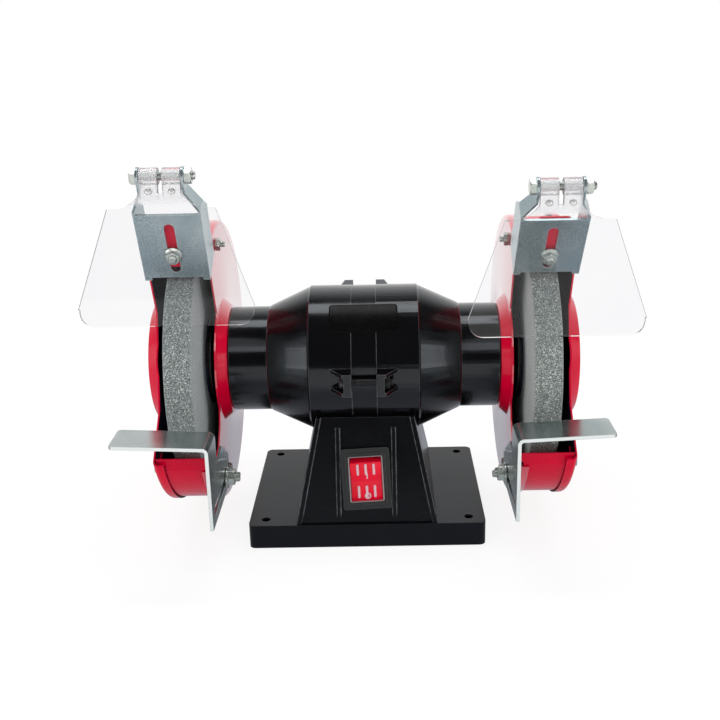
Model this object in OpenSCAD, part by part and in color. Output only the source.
// Bench grinder with two wheels, sheet guards, spark arrestors, eye shields and tool rests.
// X runs along the shaft, the operator stands at -Y, Z is up, and Z = 0 is the bench.

/* [Base] */
// Width of the foot plate along the shaft
base_w = 145; // [120:1:180]
// Depth of the foot plate, front to back
base_d = 117; // [110:1:150]
// Height of the skirt round the foot plate
skirt_h = 15; // [12:0.5:22]
// Wall thickness of the base casting
base_wall = 3; // [2:0.5:4]
// Corner radius of the foot plate
base_corner_r = 4; // [2:0.5:8]
// Distance between the mounting holes along the shaft
hole_span_x = 125; // [112:1:126]
// Distance between the mounting holes, front to back
hole_span_y = 100; // [96:1:100]
// Diameter of the mounting holes
hole_d = 5.5; // [4.5:0.1:6.5]
// Width of the pedestal where it meets the foot plate
pedestal_w = 86; // [80:1:96]
// Width of the pedestal under the motor
pedestal_top_w = 60; // [54:1:66]
// Depth of the pedestal where it meets the foot plate
pedestal_d = 110; // [100:1:110]
// Drop from the shaft to the front edge of the saddle
saddle_drop = 26; // [22:1:30]
// Thickness of the sheet that closes the base from below
cover_t = 1.5; // [1:0.1:2]

/* [Motor] */
// Height of the shaft above the bench
shaft_h = 104; // [102:1:116]
// Outer diameter of the motor barrel
barrel_d = 91; // [86:1:94]
// Width of the cylindrical part of the barrel
barrel_w = 68; // [62:1:76]
// Width of the stator band that shows between the two housings
band_w = 15; // [12:1:18]
// Length of the stack of stator sheets
core_len = 32; // [28:1:36]
// Axial length of each cone
cone_len = 24.5; // [20:0.5:28]
// Outer diameter of each neck
neck_d = 65.6; // [62:0.2:68]
// Axial length of each neck
neck_len = 24.5; // [22:0.5:30]
// Wall thickness of the motor housings
housing_wall = 3; // [2.5:0.1:3.5]
// Diameter of the rotor
rotor_d = 49; // [45:1:50]
// Air gap between rotor and stator
air_gap = 0.4; // [0.3:0.05:0.6]
// How far the tie lugs stand out from the barrel
lug_reach = 11.5; // [10:0.5:13]
// Height of the tie lugs
lug_h = 13.5; // [12:0.5:16]

/* [Bearings and shaft] */
// Outer diameter of the ball bearings
bearing_d = 35; // [34:0.5:37]
// Width of the ball bearings
bearing_w = 11; // [9:0.5:12]
// Diameter of the shaft in the bearings
journal_d = 15; // [14.5:0.1:15.5]
// Diameter of the spindle under each wheel
spindle_d = 12.7; // [11:0.1:13]
// Diameter of the bearing balls
ball_d = 5.4; // [4.8:0.1:5.6]
// Number of balls in each bearing
ball_count = 8; // [6:1:9]

/* [Wheels] */
// Diameter of the grinding wheels
wheel_d = 150; // [140:1:151]
// Thickness of the grinding wheels
wheel_w = 16; // [13:0.5:20]
// Diameter of the clamping flanges
flange_d = 50; // [44:1:56]
// Thickness of the inner clamping flange
flange_w = 6; // [5:0.5:6.5]
// Thickness of the outer clamping flange
outer_flange_w = 3.5; // [2.5:0.5:4]
// Thickness of the paper discs beside each wheel
paper_t = 0.5; // [0.3:0.1:0.8]
// Width across flats of the spindle nuts
arbor_nut_af = 19; // [17:1:21]
// Height of the spindle nuts
arbor_nut_h = 6.5; // [5:0.5:7]

/* [Guards] */
// Outer diameter of the wheel guards
guard_d = 175.6; // [174:0.2:182]
// Thickness of the guard sheet
sheet_t = 1; // [0.8:0.1:1.2]
// Free space between the inner guard panel and the wheel
gap_in = 7.5; // [7.2:0.1:9]
// Free space between the wheel and the cover
gap_out = 8.5; // [8:0.5:11]
// Width of the rim that is folded from each guard panel
rim_w = 6.5; // [5:0.5:8]
// Bend radius between panel and rim
bend_r = 3; // [2:0.5:4]
// Height of the cone pressed into the inner panel
cone_h = 5.5; // [4.5:0.5:6]
// Diameter of that cone at the panel
cone_d = 78; // [74:1:84]
// Height of the round bulge pressed into the cover
bulge_h = 7.3; // [6:0.1:9]
// Diameter of the bulge at the cover
bulge_d = 92; // [84:1:96]
// Distance of the guard screws from the shaft
guard_screw_r = 77; // [75:0.5:77.5]

/* [Spark arrestors] */
// Forward lean of the guard opening and of the left arrestor, in degrees
lean = 22.6; // [18:0.2:26]
// How much further the right arrestor leans, because its tab is bent further, in degrees
right_extra_lean = 12.9; // [0:0.1:14]
// Height of the front plate
arrestor_h = 42; // [38:1:43]
// Thickness of the galvanised sheet
plate_t = 1.5; // [1.2:0.1:1.8]
// Width of the slot for the clamping bolt
slot_w = 5.8; // [5.6:0.1:7]
// How much lower the left arrestor is set
left_drop = 1; // [0:0.5:2]
// Height of the pivot above the top of the front plate
pivot_rise = 23.4; // [21:0.2:25]

/* [Eye shields] */
// Width of each finger that curls round the pivot bolt
finger_w = 9.6; // [8:0.2:10.4]
// Gap between the two fingers
finger_gap = 2.8; // [2:0.2:4]
// Thickness of the clear sheet
shield_t = 2; // [1.5:0.1:2.5]
// Length of each shield below its pivot
shield_len = 80.5; // [74:0.5:86]
// Width of each shield at its lower edge
shield_w = 96; // [86:1:98]
// Width of each shield at its upper edge
shield_top_w = 58; // [50:1:64]
// Forward tilt of the left shield, in degrees
left_tilt = 6.5; // [2:0.5:30]
// Forward tilt of the right shield, in degrees
right_tilt = 0; // [-4:0.5:20]

/* [Tool rests] */
// Length of the rest plate along the shaft
rest_len = 54.5; // [50:0.5:60]
// Depth of the rest plate, front to back
rest_d = 24.5; // [22:0.5:28]
// Thickness of the rest
rest_t = 2; // [1.6:0.1:2.2]
// Gap between the rest and the new wheel
rest_gap = 2.8; // [2.6:0.1:4]
// Drop from the shaft to the top of the rest plate
rest_drop = 17; // [12:1:20]
// Height of the upright leg
leg_h = 50; // [48:0.5:53]
// Upward tilt of the rest plate towards its outer end, in degrees
rest_tilt = 2.5; // [0:0.5:3]
// Outer bend radius between rest plate and leg
rest_bend_r = 3.5; // [3:0.1:5]
// How much further out the left rest is set
left_rest_out = 5.5; // [0:0.5:6]

/* [Switch] */
// Width of the switch frame
bezel_w = 29.5; // [28:0.5:31]
// Height of the switch frame
bezel_h = 37.5; // [36:0.5:39]
// Thickness of the switch frame
bezel_t = 2.5; // [2:0.1:3]
// Width of the rocker
rocker_w = 18.8; // [17:0.2:19.4]
// Height of the rocker
rocker_h = 24.6; // [22:0.2:25]
// Angle of the rocker from its middle position, in degrees
rocker_swing = 9; // [6:1:10]
// How far the switch sits turned in its hole, in degrees
switch_roll = 2.5; // [0:0.5:3]

/* [Fasteners] */
// Diameter of the small machine screws
screw_d = 4; // [3.5:0.1:4.4]
// Diameter of the clamping and pivot bolts
bolt_d = 5; // [4.6:0.1:5.2]
// Radial play between a screw and its hole
hole_play = 0.25; // [0.2:0.05:0.4]
// Play between parts that slide or turn on each other
play = 0.3; // [0.25:0.05:0.4]
// Radial play of a pin in its bore
pin_play = 0.08; // [0.05:0.01:0.1]

/* [Hidden] */
$fn = 64;
eps = 0.01;
cut = 200;

// Stations along the shaft, for the right-hand side
barrel_r = barrel_d / 2;
neck_r = neck_d / 2;
cone_x0 = barrel_w / 2;
cone_x1 = cone_x0 + cone_len;
neck_end = cone_x1 + neck_len;
panel_x = neck_end + cone_h;
wheel_x0 = panel_x + sheet_t + gap_in;
wheel_x1 = wheel_x0 + wheel_w;
wheel_cx = wheel_x0 + wheel_w / 2;
cover_x = wheel_x1 + gap_out + sheet_t;
guard_cx = (panel_x + cover_x) / 2;
flange_x0 = wheel_x0 - paper_t - flange_w;
outer_flange_x1 = wheel_x1 + paper_t + outer_flange_w;
nut_x1 = outer_flange_x1 + arbor_nut_h;
shaft_end = nut_x1 + 2;
bearing_x0 = neck_end - 4 - bearing_w;

// Radii of the guard
guard_r = guard_d / 2;
sheet_gap = 0.15;
band_r = guard_r - sheet_t - sheet_gap;

// Opening of the guard, as seen from the side, measured from the shaft: [y, z]
cover_notch_top = [-35, 41];
cover_notch_mid = [-51.5, -15];
cover_notch_low = [-78.5, -39.5];
panel_notch_top = [-22, 36];
panel_notch_mid = [-40, -25];
panel_notch_low = [-74.5, -44.5];
// Angles where the peripheral band stops, from +Y over +Z
band_low_angle = 210;
lip_len = 7;

// Places on the leaning line that the arrestor slides on, measured up that line
plate_z0 = 27.5;
plate_z1 = plate_z0 + arrestor_h;
pivot_z = plate_z1 + pivot_rise;
clamp_z = 41.9;
tab_bend_z = 20;
slot_z0 = plate_z0 + 6.5;
slot_z1 = plate_z1 - 9;
tab_w = 18;
tab_top = plate_z1 + 0.5;
flange_depth = 19;
ear_r = 5;
pivot_head_h = 3.5;
finger_x = (finger_gap + finger_w) / 2;
ear_span = 2 * (finger_x + finger_w / 2 + play + plate_t);

// Saddle, pedestal and front face
saddle_z = shaft_h - saddle_drop;
saddle_lip = 2.5;
saddle_half_d = sqrt(pow(barrel_r + play, 2) - pow(saddle_drop, 2)) + saddle_lip;
face_slope = atan((pedestal_d / 2 - saddle_half_d) / (saddle_z - skirt_h));
switch_z = 41.5;
rib_x = 17;
rib_w = 2.6;
rib_t = 1.8;
edge_w = 3;

// Switch
switch_well_w = rocker_w + 2.4;
switch_well_h = rocker_h + 3.6;
socket_w = bezel_w - 4;
socket_h = bezel_h - 4;
socket_d = 19;
rocker_axis_y = 5;

// Tool rest and its bolt
rest_bolt_y = -53;
rest_bolt_z = -59;
support_t = 1.5;
leg_x1 = panel_x - support_t - play;
leg_x0 = leg_x1 - rest_t;
rest_back = -round(100 * (sqrt(pow(wheel_d / 2, 2) - pow(rest_drop, 2)) + rest_gap)) / 100;
rest_front = rest_back - rest_d;
rest_z = shaft_h - rest_drop;
leg_slot_z = shaft_h + rest_bolt_z;
washer_t = 1;

// Hexagon sizes that go with the bolts and screws
function hex_af(d) = 1.6 * d;
function nut_height(d) = 0.8 * d;
function polar(r, a) = [r * cos(a), r * sin(a)];
function arc_points(r, from, to, steps = 10) = [for (i = [0:steps]) polar(r, from + (to - from) * i / steps)];
function turned(p, a) = [p[0] * cos(a) - p[1] * sin(a), p[0] * sin(a) + p[1] * cos(a)];
// Where a point of the leaning frame lies in the side view
function lean_point(y, z, extra = 0) = [cover_notch_top[0], shaft_h + cover_notch_top[1]]
  + turned([0, tab_bend_z], lean) + turned([y, z - tab_bend_z], lean + extra);
function on_circle(p, d, r) = let (b = p[0] * d[0] + p[1] * d[1], c = p[0] * p[0] + p[1] * p[1] - r * r)
  p + (-b + sqrt(b * b - c)) * d;

band_top = on_circle(cover_notch_top, [-sin(lean), cos(lean)], band_r);
band_top_angle = atan2(band_top[1], band_top[0]);
inner_screw_angles = [98, 262, 0];
cover_screw_angles = [218, 90, 335];

// ---------------------------------------------------------------- helpers
module side(s) {
  mirror([s < 0 ? 1 : 0, 0, 0]) children();
}

module about_shaft() {
  translate([0, 0, shaft_h]) children();
}

// Revolves a profile of [radius, station] round the shaft
module revolve() {
  about_shaft() rotate([0, 90, 0]) rotate_extrude($fn = 96) children();
}

// A plain ring on the shaft between two stations
module ring(x0, x1, r_out, r_in) {
  revolve() translate([r_in, x0]) square([r_out - r_in, x1 - x0]);
}

// A bar along X
module bar(x0, x1, d, facets = 32) {
  translate([x0, 0, 0]) rotate([0, 90, 0]) cylinder(h = x1 - x0, d = d, $fn = facets);
}

module hex_bar(x0, x1, af) {
  bar(x0, x1, af / cos(30), 6);
}

// A flat outline in [y, z] that is made thick along X
module side_sheet(x0, x1) {
  translate([x0, 0, 0]) rotate([90, 0, 90]) linear_extrude(height = x1 - x0) children();
}

// What rounding a corner takes away, seen from the centre of its arc; a small shift makes the arc
// cross both edges instead of touching them
module corner_cutter(r) {
  shift = r / 20;
  translate([shift, shift])
    polygon(concat(arc_points(r, 0, 90), [[0, r + 1], [r + 1, r + 1], [r + 1, 0]]));
}
module rounded_rect(w, d, r) {
  square([w - 2 * r, d], center = true);
  square([w, d - 2 * r], center = true);
  for (x = [-1, 1], y = [-1, 1])
    translate([x * (w / 2 - r), y * (d / 2 - r)]) circle(r = r);
}

module at_mounting_holes() {
  for (x = [-1, 1], y = [-1, 1])
    translate([x * hole_span_x / 2, y * hole_span_y / 2, 0]) children();
}

// Frame of the sloping front face: local Z climbs the face and local -Y leaves it
module on_face(z) {
  face_y = -pedestal_d / 2 + (z - skirt_h) * tan(face_slope);
  translate([0, face_y, z]) rotate([-face_slope, 0, 0]) children();
}

module on_switch() {
  on_face(switch_z) rotate([0, -switch_roll, 0]) children();
}

// Frame of the leaning line of the guard: local Z climbs it, local -Y faces the operator.
// With extra, what stands on the line leans further from tab_bend_z on
module on_lean(extra = 0) {
  translate([0, cover_notch_top[0], shaft_h + cover_notch_top[1]]) rotate([lean, 0, 0])
    translate([0, 0, tab_bend_z]) rotate([extra, 0, 0]) translate([0, 0, -tab_bend_z]) children();
}

// ---------------------------------------------------------------- base
module pedestal_solid(inset, z0) {
  grow_x = (pedestal_w - pedestal_top_w) / 2 / (saddle_z - skirt_h);
  grow_y = tan(face_slope);
  z1 = shaft_h;
  half_w0 = pedestal_w / 2 - inset + (skirt_h - z0) * grow_x;
  half_d0 = pedestal_d / 2 - inset + (skirt_h - z0) * grow_y;
  intersection() {
    rotate([90, 0, 0]) translate([0, 0, -cut / 2]) linear_extrude(height = cut)
      polygon([[-half_w0, z0], [half_w0, z0],
               [half_w0 - (z1 - z0) * grow_x, z1], [-half_w0 + (z1 - z0) * grow_x, z1]]);
    side_sheet(-cut / 2, cut / 2)
      polygon([[-half_d0, z0], [half_d0, z0],
               [half_d0 - (z1 - z0) * grow_y, z1], [-half_d0 + (z1 - z0) * grow_y, z1]]);
    translate([-cut / 2, -cut / 2, z0]) cube([cut, cut, saddle_z - z0]);
  }
}

// Raised strips on the front face: two upright ribs and the two slanting edges
module face_ribs() {
  for (x = [-1, 1]) on_face(switch_z) translate([x * rib_x - rib_w / 2, -rib_t, -24])
    cube([rib_w, rib_t + eps, 55]);
  difference() {
    intersection() {
      translate([0, -rib_t, 0]) pedestal_solid(0, skirt_h - eps);
      translate([-cut / 2, -cut, 0]) cube([cut, cut, cut]);
    }
    for (y = [-rib_t - 5, -rib_t + 3]) translate([0, y, 0]) pedestal_solid(edge_w, skirt_h - 1);
    pedestal_solid(0.5, skirt_h - 1);
  }
}

module saddle(gap) {
  about_shaft() bar(-cut / 2, cut / 2, barrel_d + 2 * gap, 96);
}

module base() {
  color("#141416") {
    difference() {
      union() {
        linear_extrude(height = skirt_h) rounded_rect(base_w, base_d, base_corner_r);
        pedestal_solid(0, skirt_h - eps);
        face_ribs();
      }
      translate([0, 0, -eps]) linear_extrude(height = skirt_h - base_wall)
        rounded_rect(base_w - 2 * base_wall, base_d - 2 * base_wall, base_corner_r / 2);
      difference() {
        pedestal_solid(base_wall, skirt_h - base_wall - 2 * eps);
        saddle(play + base_wall);
      }
      saddle(play);
      on_switch() translate([-socket_w / 2 - play, -10, -socket_h / 2 - play])
        cube([socket_w + 2 * play, 30, socket_h + 2 * play]);
      gland_hole();
      at_housing_bolts() cylinder(h = cut, d = bolt_d + 2 * hole_play, center = true, $fn = 32);
      at_mounting_holes() cylinder(h = cut, d = hole_d, center = true);
    }
    at_mounting_holes() boss(6, 0, hole_d);
    at_cover_screws() boss(4, cover_t + 0.5, screw_d);
  }
}

module boss(r, z0, bore) {
  translate([0, 0, z0]) difference() {
    cylinder(h = skirt_h - base_wall - z0 + eps, r = r, $fn = 32);
    translate([0, 0, -1]) cylinder(h = skirt_h, d = bore, $fn = 32);
  }
}

cover_screw_x = 57;
cover_screw_y = 18;
module at_cover_screws() {
  for (x = [-1, 1], y = [-1, 1]) translate([x * cover_screw_x, y * cover_screw_y, 0]) children();
}

module base_cover() {
  color("#8d9194") translate([0, 0, 0.5]) linear_extrude(height = cover_t) difference() {
    rounded_rect(base_w - 2 * base_wall - 2 * play, base_d - 2 * base_wall - 2 * play, base_corner_r / 2);
    at_mounting_holes() circle(r = 6 + play);
    at_cover_screws() circle(d = screw_d + 2 * hole_play);
  }
}

module base_cover_screws() {
  color("#b9bec2") at_cover_screws() {
    translate([0, 0, 0.5 + cover_t]) cylinder(h = 8, d = screw_d - 2 * pin_play, $fn = 32);
    translate([0, 0, 0.1]) cylinder(h = 0.4 + cover_t, d = screw_d - 2 * pin_play, $fn = 32);
    translate([0, 0, 0.1]) cylinder(h = 0.4, d = 1.9 * screw_d, $fn = 32);
  }
}

gland_x = 22;
gland_z = 30;
gland_bore = 7;
gland_body = 12;
module on_rear_face() {
  rotate([0, 0, 180]) on_face(gland_z) translate([-gland_x, 0, 0]) rotate([90, 0, 0]) children();
}

module gland_hole() {
  on_rear_face() cylinder(h = 30, d = gland_body + 2 * pin_play, center = true);
}

module cable_gland() {
  color("#1b1b1d") on_rear_face() difference() {
    union() {
      translate([0, 0, -base_wall - 3]) cylinder(h = base_wall + 3, d = gland_body);
      cylinder(h = 4, d = gland_body + 6);
      translate([0, 0, 4]) cylinder(h = 5, d1 = gland_body + 3, d2 = gland_body);
      translate([0, 0, -base_wall - 3]) cylinder(h = 1.5, d = gland_body + 1.5);
    }
    translate([0, 0, -20]) cylinder(h = 40, d = gland_bore);
  }
}

// ---------------------------------------------------------------- motor
bolt_station = 22;
module at_housing_bolts() {
  for (x = [-1, 1], y = [-1, 1]) translate([x * bolt_station, y * 9, 0]) children();
}

module housing_profile() {
  inner_r = barrel_r - housing_wall;
  seat_r = bearing_d / 2;
  neck_in = neck_r - housing_wall;
  polygon([
    [inner_r, band_w / 2], [barrel_r, band_w / 2], [barrel_r, cone_x0 - 1], [barrel_r - 0.8, cone_x0],
    [neck_r + 0.7, cone_x1], [neck_r, cone_x1 + 0.8], [neck_r, neck_end - 0.8], [neck_r - 0.8, neck_end],
    [journal_d / 2 + 1, neck_end], [journal_d / 2 + 1, bearing_x0 + bearing_w],
    [seat_r, bearing_x0 + bearing_w], [seat_r, bearing_x0 - 0.2], [seat_r + 4, bearing_x0 - 2],
    [neck_in, bearing_x0 - 2], [neck_in, cone_x1 - 1], [inner_r, cone_x0 - 2],
  ]);
}

// Tie lug: an end wall beside the stator band and two gussets that run out on the barrel
module tie_lug() {
  wall_x = band_w / 2;
  wall_t = 4.5;
  fin_t = 2.2;
  root_y = -barrel_r + 3;
  difference() {
    union() {
      translate([wall_x, -barrel_r - lug_reach, -lug_h / 2])
        cube([wall_t, lug_reach + 3, lug_h]);
      for (z = [-lug_h / 2, lug_h / 2 - fin_t]) translate([0, 0, z]) linear_extrude(height = fin_t)
        polygon([[wall_x + wall_t - eps, root_y], [wall_x + wall_t - eps, -barrel_r - lug_reach],
                 [wall_x + wall_t + 1, -barrel_r - lug_reach], [wall_x + 13, -barrel_r + 0.5],
                 [wall_x + 13, root_y]]);
    }
    translate([0, tie_y, 0]) bar(0, 40, screw_d + 2 * hole_play);
  }
}

tie_y = -barrel_r - lug_reach / 2;
rear_lug_angle = 217;

module housing() {
  difference() {
    union() {
      revolve() housing_profile();
      about_shaft() for (a = [0, rear_lug_angle]) rotate([a, 0, 0]) tie_lug();
    }
    at_housing_bolts() translate([0, 0, shaft_h - barrel_r - 1])
      cylinder(h = 12, d = bolt_d, $fn = 32);
    at_neck_screws() bar(neck_end - 5, neck_end + 5, screw_d);
    // Room inside for the stator, in case a lug root reaches in
    about_shaft() bar(0, core_len / 2, 2 * (barrel_r - housing_wall), 96);
  }
}

module housing_left() { color("#17171a") side(-1) housing(); }
module housing_right() { color("#17171a") side(1) housing(); }

module housing_bolts() {
  head_z = shaft_h - sqrt(pow(barrel_r + play + base_wall, 2) - pow(9, 2)) - 0.6;
  color("#b9bec2") at_housing_bolts() {
    translate([0, 0, head_z - 3.5]) cylinder(h = 3.5, d = hex_af(bolt_d) / cos(30), $fn = 6);
    translate([0, 0, head_z - eps])
      cylinder(h = base_wall + housing_wall + 1.5, d = bolt_d - 2 * pin_play, $fn = 32);
  }
}

slot_count = 12;
slot_ring_r = rotor_d / 2 + 7.5;
slot_r = 2.8;
module stator_core() {
  bore_r = rotor_d / 2 + air_gap;
  color("#202024") difference() {
    revolve() polygon([
      [bore_r, -core_len / 2], [barrel_r - housing_wall - pin_play, -core_len / 2],
      [barrel_r - housing_wall - pin_play, -band_w / 2], [barrel_r - 0.2, -band_w / 2],
      [barrel_r - 0.2, band_w / 2], [barrel_r - housing_wall - pin_play, band_w / 2],
      [barrel_r - housing_wall - pin_play, core_len / 2], [bore_r, core_len / 2],
    ]);
    about_shaft() for (i = [0 : slot_count - 1]) rotate([360 / slot_count * i, 0, 0])
      translate([0, slot_ring_r, 0]) bar(-core_len, core_len, 2 * slot_r, 24);
  }
}

module stator_windings() {
  coil_len = 11;
  color("#b4642d") {
    for (s = [-1, 1]) side(s) revolve() translate([slot_ring_r, core_len / 2 + 1 + coil_len / 2])
      resize_free_oval(4.6, coil_len / 2);
    about_shaft() for (i = [0 : slot_count - 1]) rotate([360 / slot_count * i, 0, 0])
      translate([0, slot_ring_r, 0])
        bar(-core_len / 2 - 3, core_len / 2 + 3, 2 * (slot_r - hole_play), 24);
  }
}

// A coil end in section: a block with fully rounded ends
module resize_free_oval(r, half) {
  translate([-r, -half + r]) square([2 * r, 2 * (half - r)]);
  for (y = [-1, 1]) translate([0, y * (half - r)]) circle(r = r, $fn = 32);
}

module tie_screws() {
  lug_out = band_w / 2 + 4.5;
  color("#c3c8cc") about_shaft() for (a = [0, rear_lug_angle]) rotate([a, 0, 0]) translate([0, tie_y, 0]) {
    bar(-lug_out - 1, lug_out + 5.5, screw_d);
    bar(-lug_out - 3, -lug_out, 1.8 * screw_d);
    hex_bar(lug_out, lug_out + nut_height(screw_d), hex_af(screw_d) + 0.6);
  }
}

cap_d = 24;
cap_len = 42;
cap_y = 25;
cap_z = 2 + cap_d / 2 + 1.6;
module capacitor() {
  color("#d7d3c6") translate([0, cap_y, cap_z]) {
    bar(-cap_len / 2, cap_len / 2, cap_d, 64);
    for (y = [-1, 1]) translate([0, y * 5, 0]) bar(cap_len / 2, cap_len / 2 + 6, 2.4, 16);
  }
}

module capacitor_clip() {
  clip_w = 10;
  clip_t = 1;
  color("#b9bec2") translate([0, cap_y, cap_z]) {
    difference() {
      bar(-clip_w / 2, clip_w / 2, cap_d + 2 * clip_t + 0.2, 64);
      bar(-clip_w, clip_w, cap_d + 0.2, 64);
      translate([-clip_w, -cap_d, -cap_d - cap_d / 2 + 2]) cube([2 * clip_w, 2 * cap_d, cap_d]);
    }
    for (y = [-1, 1]) translate([-clip_w / 2, y > 0 ? cap_d / 2 - 3 : -cap_d / 2 - 5, 2 + 0.05 - cap_z])
      cube([clip_w, 8, clip_t]);
    for (y = [-1, 1]) translate([-clip_w / 2, y * (cap_d / 2 - 2) - 0.5, 2.5 - cap_z])
      cube([clip_w, 1, 4]);
  }
}

// ---------------------------------------------------------------- switch
module switch_frame() {
  color("#2b2d30") on_switch() difference() {
    union() {
      rotate([90, 0, 0]) linear_extrude(height = bezel_t) rounded_rect(bezel_w, bezel_h, 1.5);
      translate([-socket_w / 2, -eps, -socket_h / 2]) cube([socket_w, 2.5, socket_h]);
      rotate([90, 0, 0]) linear_extrude(height = bezel_t + 0.8) difference() {
        rounded_rect(switch_well_w + 3.2, switch_well_h + 3.2, 1.5);
        rounded_rect(switch_well_w + 1, switch_well_h + 1, 1);
      }
    }
    translate([-switch_well_w / 2, -20, -switch_well_h / 2]) cube([switch_well_w, 40, switch_well_h]);
  }
}

module switch_body() {
  wall = 2;
  color("#232427") on_switch() difference() {
    union() {
      translate([-socket_w / 2, 2.5, -socket_h / 2]) cube([socket_w, socket_d, socket_h]);
      for (x = [-6, 6], z = [-9, 0, 9])
        translate([x - 2.4, socket_d + 2, z - 0.4]) cube([4.8, 8, 0.8]);
    }
    translate([-switch_well_w / 2, 0, -switch_well_h / 2])
      cube([switch_well_w, socket_d - 2, switch_well_h]);
    translate([0, rocker_axis_y + 2, 0]) bar(-socket_w, socket_w, 3, 24);
  }
}

module switch_rocker() {
  face = -3.4;
  dip = 1.8;
  color("#d4122a") on_switch() translate([0, rocker_axis_y + 2, 0]) rotate([rocker_swing, 0, 0]) {
    side_sheet(-rocker_w / 2, rocker_w / 2) translate([-rocker_axis_y - 2, 0])
      polygon([[face, rocker_h / 2], [face + dip, 1.2], [face + dip, -1.2], [face, -rocker_h / 2],
               [2.5, -rocker_h / 2 + 0.6], [9.5, -rocker_h / 4], [9.5, rocker_h / 4],
               [2.5, rocker_h / 2 - 0.6]]);
    bar(-socket_w / 2 + 0.4, socket_w / 2 - 0.4, 3 - 2 * pin_play, 24);
  }
}

// ---------------------------------------------------------------- rotor
module shaft() {
  color("#c8ccd0") about_shaft() {
    bar(-bearing_x0, bearing_x0, journal_d + 3, 64);
    for (s = [-1, 1]) side(s) {
      bar(bearing_x0 - eps, flange_x0, journal_d, 64);
      bar(flange_x0 - eps, shaft_end, spindle_d, 64);
    }
  }
}

module rotor_core() {
  color("#6f7378") about_shaft() difference() {
    union() {
      bar(-core_len / 2, core_len / 2, rotor_d, 96);
      for (s = [-1, 1]) side(s) bar(core_len / 2 - eps, core_len / 2 + 4, rotor_d - 5, 96);
      for (s = [-1, 1], i = [0 : 7]) side(s) rotate([45 * i, 0, 0])
        translate([core_len / 2 + 3, -0.8, rotor_d / 2 - 9]) cube([7, 1.6, 6]);
    }
    bar(-cut, cut, journal_d + 3 + 2 * pin_play, 64);
  }
}

pitch_r = (bearing_d + journal_d) / 4;
race_r = ball_d / 2 + 0.05;
module bearing_ring(r_in, r_out) {
  mid_x = bearing_x0 + bearing_w / 2;
  difference() {
    ring(bearing_x0, bearing_x0 + bearing_w, r_out, r_in);
    revolve() translate([pitch_r, mid_x]) circle(r = race_r, $fn = 32);
  }
}

module bearing_outer() { bearing_ring(pitch_r + 1.6, bearing_d / 2 - 0.02); }
module bearing_inner() { bearing_ring(journal_d / 2 + 0.02, pitch_r - 1.6); }
module bearing_outer_left() { color("#d9dcdf") side(-1) bearing_outer(); }
module bearing_outer_right() { color("#d9dcdf") side(1) bearing_outer(); }
module bearing_inner_left() { color("#d9dcdf") side(-1) bearing_inner(); }
module bearing_inner_right() { color("#d9dcdf") side(1) bearing_inner(); }

module bearing_balls() {
  color("#eceff2") for (s = [-1, 1]) side(s) about_shaft() for (i = [0 : ball_count - 1])
    rotate([360 / ball_count * i, 0, 0])
      translate([bearing_x0 + bearing_w / 2, pitch_r, 0]) sphere(d = ball_d, $fn = 32);
}

module grinding_wheel() {
  edge = 0.6;
  revolve() polygon([
    [spindle_d / 2 + pin_play, wheel_x0], [wheel_d / 2 - edge, wheel_x0], [wheel_d / 2, wheel_x0 + edge],
    [wheel_d / 2, wheel_x1 - edge], [wheel_d / 2 - edge, wheel_x1], [spindle_d / 2 + pin_play, wheel_x1],
  ]);
}
module wheel_left() { color("#6d736f") side(-1) grinding_wheel(); }
module wheel_right() { color("#8a8c8b") side(1) grinding_wheel(); }

module paper_discs() {
  for (x = [wheel_x0 - paper_t, wheel_x1])
    ring(x, x + paper_t, flange_d / 2 + 3, spindle_d / 2 + pin_play);
}
module paper_discs_left() { color("#3b5f8f") side(-1) paper_discs(); }
module paper_discs_right() { color("#3b5f8f") side(1) paper_discs(); }

// Clamping flanges are dished, so only their rims press on the paper discs
module inner_flange() {
  x1 = wheel_x0 - paper_t;
  revolve() polygon([
    [spindle_d / 2 + pin_play, flange_x0], [14, flange_x0], [flange_d / 2 - 4, x1 - 3],
    [flange_d / 2, x1 - 2.2], [flange_d / 2, x1], [flange_d / 2 - 6, x1], [flange_d / 2 - 8, x1 - 1],
    [spindle_d / 2 + pin_play, x1 - 1],
  ]);
}
module inner_flange_left() { color("#1d1d20") side(-1) inner_flange(); }
module inner_flange_right() { color("#1d1d20") side(1) inner_flange(); }

module outer_flange() {
  x0 = wheel_x1 + paper_t;
  x1 = outer_flange_x1;
  revolve() polygon([
    [spindle_d / 2 + pin_play, x0 + 1], [flange_d / 2 - 8, x0 + 1], [flange_d / 2 - 6, x0],
    [flange_d / 2, x0], [flange_d / 2, x0 + 1.5], [14, x1], [spindle_d / 2 + pin_play, x1],
  ]);
}
module outer_flange_left() { color("#1d1d20") side(-1) outer_flange(); }
module outer_flange_right() { color("#1d1d20") side(1) outer_flange(); }

module arbor_nut() {
  about_shaft() difference() {
    intersection() {
      hex_bar(outer_flange_x1, nut_x1, arbor_nut_af);
      translate([outer_flange_x1, 0, 0]) rotate([0, 90, 0])
        cylinder(h = arbor_nut_h, r1 = arbor_nut_af, r2 = arbor_nut_af / 2 - 0.2);
    }
    bar(outer_flange_x1 - 1, nut_x1 + 1, spindle_d + 2 * pin_play);
  }
}
module arbor_nut_left() { color("#c8ccd0") side(-1) arbor_nut(); }
module arbor_nut_right() { color("#c8ccd0") side(1) arbor_nut(); }

// ---------------------------------------------------------------- guards
// Front opening in [y, z], bounded by the leaning top line and the two lower lines
module notch(top, mid, low) {
  up = [-sin(lean), cos(lean)];
  down = (low - mid) / norm(low - mid);
  about_shaft() side_sheet(0, cut)
    polygon([top, top + 70 * up, [-cut, top[1] + 70], [-cut, low[1] - 60], low + 60 * down, low, mid]);
}

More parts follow.
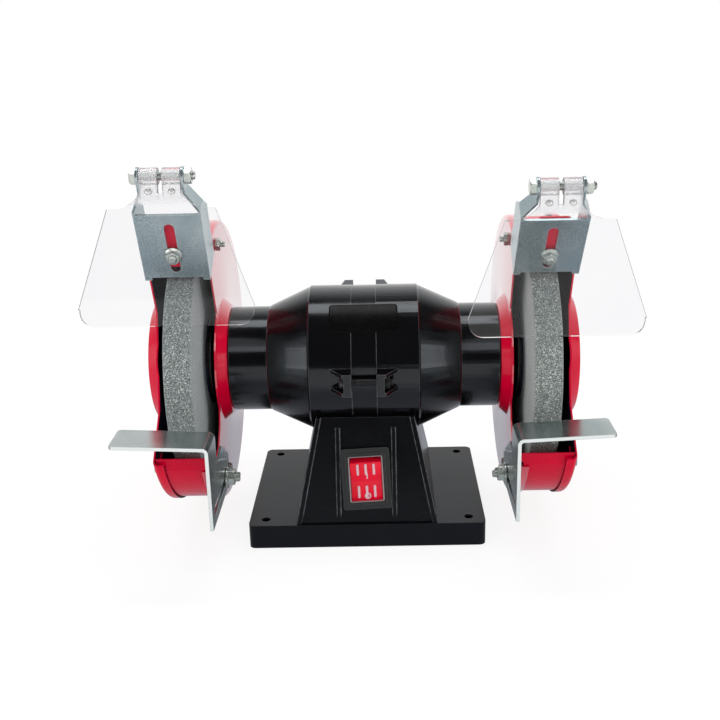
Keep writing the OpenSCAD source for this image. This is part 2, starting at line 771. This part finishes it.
// Half section of a guard panel: a disc, a pressed form, a bend and a rim
module panel_profile(hole_r, form_r0, form_r1, form_h) {
  r = guard_r;
  polygon(concat(
    [[hole_r, form_h], [form_r1, form_h], [form_r0, 0]],
    [for (a = [0 : 15 : 90]) [r - bend_r + bend_r * sin(a), -bend_r + bend_r * cos(a)]],
    [[r, -rim_w], [r - sheet_t, -rim_w]],
    [for (a = [90 : -15 : 0]) [r - bend_r + (bend_r - sheet_t) * sin(a), -bend_r + (bend_r - sheet_t) * cos(a)]],
    [[form_r0, -sheet_t], [form_r1, form_h - sheet_t], [hole_r, form_h - sheet_t]]
  ));
}

module at_guard_screws(angles) {
  about_shaft() for (a = angles) {
    p = polar(guard_screw_r, a);
    translate([0, p[0], p[1]]) children();
  }
}

neck_screw_r = neck_r - 8;
module at_neck_screws() {
  about_shaft() for (a = [90, 210, 330]) {
    p = polar(neck_screw_r, a);
    translate([0, p[0], p[1]]) children();
  }
}

module guard_inner() {
  difference() {
    translate([panel_x, 0, 0]) mirror([1, 0, 0]) revolve()
      panel_profile(journal_d / 2 + 4, cone_d / 2, neck_r + 1, cone_h);
    notch(panel_notch_top, panel_notch_mid, panel_notch_low);
    at_guard_screws(inner_screw_angles) bar(0, cut, screw_d + 2 * hole_play);
    at_neck_screws() bar(0, cut, screw_d + 2 * hole_play);
    about_shaft() translate([0, rest_bolt_y, rest_bolt_z]) bar(0, cut, bolt_d + 2 * hole_play);
    about_shaft() translate([0, support_screw[0], support_screw[1]])
      bar(0, cut, screw_d + 2 * hole_play);
  }
}
module guard_inner_left() { color("#c8102e") side(-1) guard_inner(); }
module guard_inner_right() { color("#c8102e") side(1) guard_inner(); }

module guard_cover() {
  difference() {
    translate([cover_x, 0, 0]) revolve()
      panel_profile(0, bulge_d / 2, bulge_d / 2 - 9, bulge_h);
    notch(cover_notch_top, cover_notch_mid, cover_notch_low);
    at_guard_screws(cover_screw_angles) bar(0, cut, screw_d + 2 * hole_play);
  }
}
module guard_cover_left() { color("#c8102e") side(-1) guard_cover(); }
module guard_cover_right() { color("#c8102e") side(1) guard_cover(); }

// Ring sector in [y, z]
module sector(r_out, r_in, a0, a1) {
  steps = ceil((a1 - a0) / 4);
  polygon(concat(
    [for (i = [0 : steps]) polar(r_out, a0 + (a1 - a0) * i / steps)],
    [for (i = [steps : -1 : 0]) polar(r_in, a0 + (a1 - a0) * i / steps)]
  ));
}

module guard_band(extra, top) {
  x0 = panel_x + bend_r + play;
  x1 = cover_x - bend_r - play;
  low = polar(band_r - sheet_t, band_low_angle);
  difference() {
    union() {
      about_shaft() difference() {
        bar(x0, x1, 2 * band_r, 96);
        bar(x0 - 1, x1 + 1, 2 * (band_r - sheet_t), 96);
        side_sheet(x0 - 1, x1 + 1)
          polygon([[0, 0], polar(cut, band_top_angle), [-cut, 0], polar(cut, band_low_angle)]);
      }
      about_shaft() translate([guard_cx, low[0], low[1] - 0.6]) rotate([90, 0, 0])
        linear_extrude(height = sheet_t) lip_outline(x1 - guard_cx);
      band_tab(extra, top);
      about_shaft() for (a = inner_screw_angles) rotate([a - 90, 0, 0]) band_ear(panel_x + sheet_t, 1);
      about_shaft() for (a = cover_screw_angles) rotate([a - 90, 0, 0]) band_ear(cover_x - sheet_t, -1);
    }
    at_guard_screws(inner_screw_angles) bar(panel_x, panel_x + 4, screw_d + 2 * hole_play);
    at_guard_screws(cover_screw_angles) bar(cover_x - 4, cover_x, screw_d + 2 * hole_play);
    on_lean(extra) translate([guard_cx, 0, clamp_z]) rotate([90, 0, 0])
      cylinder(h = 20, d = bolt_d + 2 * hole_play, center = true, $fn = 32);
  }
}

// Straight lip at the lower end of the band. It widens behind the ends of the two rims
module lip_outline(root_half) {
  half = cover_x - sheet_t - play - guard_cx;
  polygon([[-root_half, 0], [root_half, 0], [root_half, 1], [half, 3], [half, lip_len],
           [-half, lip_len], [-half, 3], [-root_half, 1]]);
}

// Top of the tab, with rounded corners
// The band's strap up behind the spark arrestor, bent where extra says so
module band_tab(extra, top) {
  root = band_top_z - 1;
  knee = band_top_z + 2;
  corner = 3;
  difference() {
    side_sheet(guard_cx - tab_w / 2, guard_cx + tab_w / 2)
      polygon([lean_point(0, root), lean_point(0, knee, extra), lean_point(0, top, extra),
               lean_point(sheet_t, top, extra), lean_point(sheet_t, knee, extra), lean_point(sheet_t, root)]);
    on_lean(extra) for (s = [-1, 1])
      translate([guard_cx + s * (tab_w / 2 - corner), sheet_t + 1, top - corner]) rotate([90, 0, 0])
        linear_extrude(height = sheet_t + 2) scale([s, 1]) corner_cutter(corner);
  }
}

band_top_z = (band_top[1] - cover_notch_top[1]) / cos(lean);

// Ear folded from the band that lies behind a panel and takes one screw.
// Drawn in [station, radius]; into is the direction from the panel to the wheel
module band_ear(x, into) {
  ear_w = 12;
  foot = guard_screw_r - 6;
  bend = guard_r - bend_r;
  translate([x, 0, 0]) scale([into, 1, 1]) translate([0, ear_w / 2, 0]) rotate([90, 0, 0])
    linear_extrude(height = ear_w)
      polygon([[0, foot], [sheet_t, foot], [sheet_t, bend - 2.5], [bend_r + 6, band_r - 2.4],
               [bend_r + 6, band_r - sheet_t / 2], [bend_r, band_r - sheet_t / 2], [0, bend - 1]]);
}
module guard_band_left() { color("#b00e28") side(-1) guard_band(0, tab_top - 2.5); }
module guard_band_right() { color("#b00e28") side(1) guard_band(right_extra_lean, tab_top); }

// A hexagon screw along X: its head starts at x and its shank runs to x_end
module hex_screw(x, x_end, d, head_h) {
  s = x_end > x ? 1 : -1;
  translate([x, 0, 0]) side(s) {
    bar(0, abs(x_end - x), d - 2 * pin_play);
    hex_bar(-head_h, 0, hex_af(d) + 0.6);
  }
}

module hex_nut(x0, d) {
  difference() {
    hex_bar(x0, x0 + nut_height(d), hex_af(d) + 0.6);
    bar(x0 - 1, x0 + nut_height(d) + 1, d);
  }
}

module guard_screws() {
  inside = panel_x + 2 * sheet_t;
  nut_h = nut_height(screw_d);
  at_guard_screws(inner_screw_angles) {
    hex_screw(inside, panel_x - nut_h - 2.5, screw_d, 2.6);
    hex_nut(panel_x - nut_h, screw_d);
  }
  at_guard_screws(cover_screw_angles) {
    hex_screw(cover_x, cover_x - 2 * sheet_t - nut_h - 1, screw_d, 2.6);
    hex_nut(cover_x - 2 * sheet_t - nut_h, screw_d);
  }
}
module guard_screws_left() { color("#c3c8cc") side(-1) guard_screws(); }
module guard_screws_right() { color("#c3c8cc") side(1) guard_screws(); }

module neck_screws() {
  at_neck_screws() {
    bar(neck_end - 3.6, neck_end + sheet_t, screw_d - 2 * pin_play);
    bar(neck_end + sheet_t, neck_end + sheet_t + 2.2, 1.8 * screw_d);
  }
}
module neck_screws_left() { color("#c3c8cc") side(-1) neck_screws(); }
module neck_screws_right() { color("#c3c8cc") side(1) neck_screws(); }

// ---------------------------------------------------------------- spark arrestors
module arrestor_slot() {
  for (z = [slot_z0, slot_z1]) translate([guard_cx, 0, z]) rotate([90, 0, 0])
    cylinder(h = 20, d = slot_w, center = true, $fn = 32);
  translate([guard_cx - slot_w / 2, -10, slot_z0]) cube([slot_w, 20, slot_z1 - slot_z0]);
}

// One cheek: a flange along the guard, a slanting gusset and the ear for the pivot
module cheek(flange_x, ear_x) {
  shoulder = plate_z1 + 2;
  neck = pivot_z - 8;
  side_sheet(flange_x, flange_x + plate_t)
    polygon([[-play - plate_t, plate_z0 - 2], [flange_depth, plate_z0 + 2], [flange_depth, plate_z1 - 6],
             [10, shoulder], [-play - plate_t, shoulder]]);
  hull() {
    translate([flange_x, -play - plate_t, shoulder - eps]) cube([plate_t, 10 + play + plate_t, eps]);
    translate([ear_x, -ear_r, neck]) cube([plate_t, 2 * ear_r, eps]);
  }
  translate([ear_x, -ear_r, neck]) cube([plate_t, 2 * ear_r, pivot_z - neck]);
  translate([0, 0, pivot_z]) bar(ear_x, ear_x + plate_t, 2 * ear_r);
}

module arrestor(extra = 0) {
  x0 = panel_x - play - plate_t;
  x1 = cover_x + play;
  on_lean(extra) difference() {
    union() {
      translate([x0, -play - plate_t, plate_z0]) cube([x1 + plate_t - x0, plate_t, arrestor_h]);
      for (x = [x0, x1 + plate_t - 4])
        translate([x, -play - plate_t, plate_z0 - 2]) cube([4, plate_t, 4]);
      cheek(x0, guard_cx - ear_span / 2);
      cheek(x1, guard_cx + ear_span / 2 - plate_t);
    }
    arrestor_slot();
    translate([0, 0, pivot_z]) bar(0, cut, bolt_d + 2 * pin_play);
  }
}

// Moves a piece up the leaning line
module lifted(h) {
  translate([0, -h * sin(lean), h * cos(lean)]) children();
}
module arrestor_left() { color("#a9b4b8") lifted(-left_drop) side(-1) arrestor(); }
module arrestor_right() { color("#a9b4b8") side(1) arrestor(right_extra_lean); }

module arrestor_bolt(extra = 0) {
  on_lean(extra) translate([guard_cx, 0, clamp_z]) rotate([0, 0, -90])
    hex_front(-plate_t - 2 * play);
}

// Clamping bolt along local X: head and washer in front, nut behind the tab
module hex_front(front) {
  bar(-front, -front + washer_t, 12);
  hex_bar(-front + washer_t, -front + washer_t + 3.5, hex_af(bolt_d));
  bar(-sheet_t - 6, -front + washer_t, bolt_d - 2 * pin_play);
  hex_bar(-sheet_t - nut_height(bolt_d), -sheet_t, hex_af(bolt_d));
}
module arrestor_bolt_left() { color("#c3c8cc") side(-1) arrestor_bolt(); }
module arrestor_bolt_right() { color("#c3c8cc") side(1) arrestor_bolt(right_extra_lean); }

// Both pivot bolts go in from the left, so the head is outside on one unit only
module pivot_bolt(head_out, extra = 0) {
  x0 = guard_cx - ear_span / 2;
  x1 = guard_cx + ear_span / 2;
  on_lean(extra) translate([guard_cx, 0, pivot_z]) side(head_out ? 1 : -1) translate([-guard_cx, 0, 0]) {
    bar(x0 - nut_height(bolt_d) - 1.8, x1 + eps, bolt_d);
    hex_bar(x1, x1 + pivot_head_h, hex_af(bolt_d));
    hex_bar(x0 - nut_height(bolt_d), x0, hex_af(bolt_d));
  }
}
module pivot_bolt_left() { color("#c3c8cc") lifted(-left_drop) side(-1) pivot_bolt(true); }
module pivot_bolt_right() { color("#c3c8cc") side(1) pivot_bolt(false, right_extra_lean); }

// ---------------------------------------------------------------- eye shields
curl_in = bolt_d / 2 + pin_play;
rivet_z = -8;

module shield_outline() {
  corner = 8;
  top = -17;
  half = shield_w / 2;
  for (s = [-1, 1]) scale([s, 1]) {
    polygon([[0, -9], [finger_x + finger_w / 2, -9], [13.5, -12], [18, -15.5], [22, top + 0.3],
             [shield_top_w / 2, top], [half, -shield_len + corner + 2], [half - corner, -shield_len],
             [0, -shield_len]]);
    translate([half - corner - 0.6, -shield_len + corner]) circle(r = corner);
    translate([finger_x - finger_w / 2, -10]) square([finger_w, 10]);
  }
}

// Where the pivot is in the shield's own upright frame
module on_pivot(tilt, extra) {
  on_lean(extra) translate([guard_cx, 0, pivot_z]) rotate([-lean - extra - tilt, 0, 0]) children();
}

module eye_shield(tilt, extra = 0) {
  on_pivot(tilt, extra) difference() {
    union() {
      translate([0, -curl_in, 0]) rotate([90, 0, 0]) linear_extrude(height = shield_t) shield_outline();
      for (s = [-1, 1]) translate([s * finger_x - finger_w / 2, 0, 0]) {
        bar(0, finger_w, 2 * (curl_in + shield_t));
        translate([0, -curl_in - eps, rivet_z - 4]) cube([finger_w, shield_t, 3 - rivet_z]);
      }
    }
    bar(-20, 20, 2 * curl_in);
    for (s = [-1, 1]) translate([s * finger_x, 0, rivet_z]) rotate([90, 0, 0])
      cylinder(h = 20, d = 3 + 2 * hole_play, center = true, $fn = 24);
  }
}
module eye_shield_left() { color("#dfe9ee", 0.35) lifted(-left_drop) side(-1) eye_shield(left_tilt); }
module eye_shield_right() { color("#dfe9ee", 0.35) side(1) eye_shield(right_tilt, right_extra_lean); }

module shield_rivets(tilt, extra = 0) {
  back = -curl_in + shield_t;
  front = -curl_in - shield_t;
  on_pivot(tilt, extra) for (s = [-1, 1]) translate([s * finger_x, 0, rivet_z]) rotate([90, 0, 0]) {
    translate([0, 0, -back]) cylinder(h = back - front, d = 3, $fn = 24);
    translate([0, 0, -front]) cylinder(h = 0.9, d1 = 4.8, d2 = 3, $fn = 32);
    translate([0, 0, -back - 0.8]) cylinder(h = 0.8, d1 = 4, d2 = 5, $fn = 32);
  }
}
module shield_rivets_left() { color("#e2e6e9") lifted(-left_drop) side(-1) shield_rivets(left_tilt); }
module shield_rivets_right() { color("#e2e6e9") side(1) shield_rivets(right_tilt, right_extra_lean); }

// ---------------------------------------------------------------- tool rests
leg_back = rest_bolt_y + 14;
leg_slot_y0 = rest_front + 10;
leg_slot_y1 = rest_bolt_y + 11;

module tool_rest() {
  bottom = rest_z - leg_h;
  top = rest_z - rest_bend_r;
  corner = 3;
  len = rest_len - rest_bend_r;
  difference() {
    side_sheet(leg_x0, leg_x1)
      polygon([[rest_front, top], [rest_front, bottom], [leg_back - 8, bottom],
               [leg_back, bottom + 5], [leg_back, leg_slot_z + 9], [rest_back, rest_z - 18],
               [rest_back, top]]);
    for (y = [leg_slot_y0, leg_slot_y1]) translate([0, y, leg_slot_z])
      bar(0, cut, bolt_d + 2 * play);
    translate([0, leg_slot_y0, leg_slot_z - bolt_d / 2 - play])
      cube([cut, leg_slot_y1 - leg_slot_y0, bolt_d + 2 * play]);
  }
  translate([leg_x0 + rest_bend_r, rest_back, top]) difference() {
    rotate([90, 0, 0]) linear_extrude(height = rest_d) rest_profile(len);
    rotate([0, -rest_tilt, 0]) for (s = [-1, 1])
      translate([len - corner, s * (rest_d / 2 - corner) - rest_d / 2, 0])
        linear_extrude(height = 2 * rest_bend_r) scale([1, s]) corner_cutter(corner);
  }
}
// The plate, its bend and the top of its leg, seen from the front
module rest_profile(len) {
  inner_r = rest_bend_r - rest_t;
  turn = 90 + rest_tilt;
  polygon(concat([[-inner_r, -1], [-rest_bend_r, -1]], arc_points(rest_bend_r, 180, turn),
                 [turned([len, rest_bend_r], rest_tilt), turned([len, inner_r], rest_tilt)],
                 arc_points(inner_r, turn, 180)));
}
module tool_rest_left() { color("#a9b4b8") translate([0, -left_rest_out, 0]) side(-1) tool_rest(); }
module tool_rest_right() { color("#a9b4b8") side(1) tool_rest(); }

support_screw = [-32, -62];
module rest_support() {
  difference() {
    about_shaft() side_sheet(panel_x - support_t, panel_x)
      polygon([[-66, -44], [-48, -40], [-27, -54], [-25, -66], [-36, -71], [-56, -69], [-68, -54]]);
    about_shaft() translate([0, rest_bolt_y, rest_bolt_z]) bar(0, cut, bolt_d + 2 * hole_play);
    about_shaft() translate([0, support_screw[0], support_screw[1]])
      bar(0, cut, screw_d + 2 * hole_play);
  }
}
module rest_support_left() { color("#8f999d") side(-1) rest_support(); }
module rest_support_right() { color("#8f999d") side(1) rest_support(); }

module rest_bolt() {
  washer_x = leg_x0 - play;
  about_shaft() translate([0, rest_bolt_y, rest_bolt_z]) {
    bar(washer_x - washer_t - nut_height(bolt_d) - 3, panel_x + sheet_t, bolt_d - 2 * pin_play);
    bar(panel_x + sheet_t, panel_x + sheet_t + 2.4, 2 * bolt_d);
    bar(washer_x - washer_t, washer_x, 13);
    hex_bar(washer_x - washer_t - nut_height(bolt_d), washer_x - washer_t, hex_af(bolt_d));
  }
  about_shaft() translate([0, support_screw[0], support_screw[1]]) {
    hex_screw(panel_x - support_t, panel_x + sheet_t + 4, screw_d, 2.6);
    hex_nut(panel_x + sheet_t, screw_d);
  }
}
module rest_bolt_left() { color("#c3c8cc") side(-1) rest_bolt(); }
module rest_bolt_right() { color("#c3c8cc") side(1) rest_bolt(); }

base();
base_cover();
base_cover_screws();
housing_left();
housing_right();
housing_bolts();
stator_core();
stator_windings();
tie_screws();
capacitor();
capacitor_clip();
cable_gland();
switch_frame();
switch_body();
switch_rocker();
shaft();
rotor_core();
bearing_outer_left();
bearing_outer_right();
bearing_inner_left();
bearing_inner_right();
bearing_balls();
wheel_left();
wheel_right();
paper_discs_left();
paper_discs_right();
inner_flange_left();
inner_flange_right();
outer_flange_left();
outer_flange_right();
arbor_nut_left();
arbor_nut_right();
guard_inner_left();
guard_inner_right();
guard_band_left();
guard_band_right();
guard_cover_left();
guard_cover_right();
guard_screws_left();
guard_screws_right();
neck_screws_left();
neck_screws_right();
arrestor_left();
arrestor_right();
arrestor_bolt_left();
arrestor_bolt_right();
pivot_bolt_left();
pivot_bolt_right();
eye_shield_left();
eye_shield_right();
shield_rivets_left();
shield_rivets_right();
tool_rest_left();
tool_rest_right();
rest_support_left();
rest_support_right();
rest_bolt_left();
rest_bolt_right();
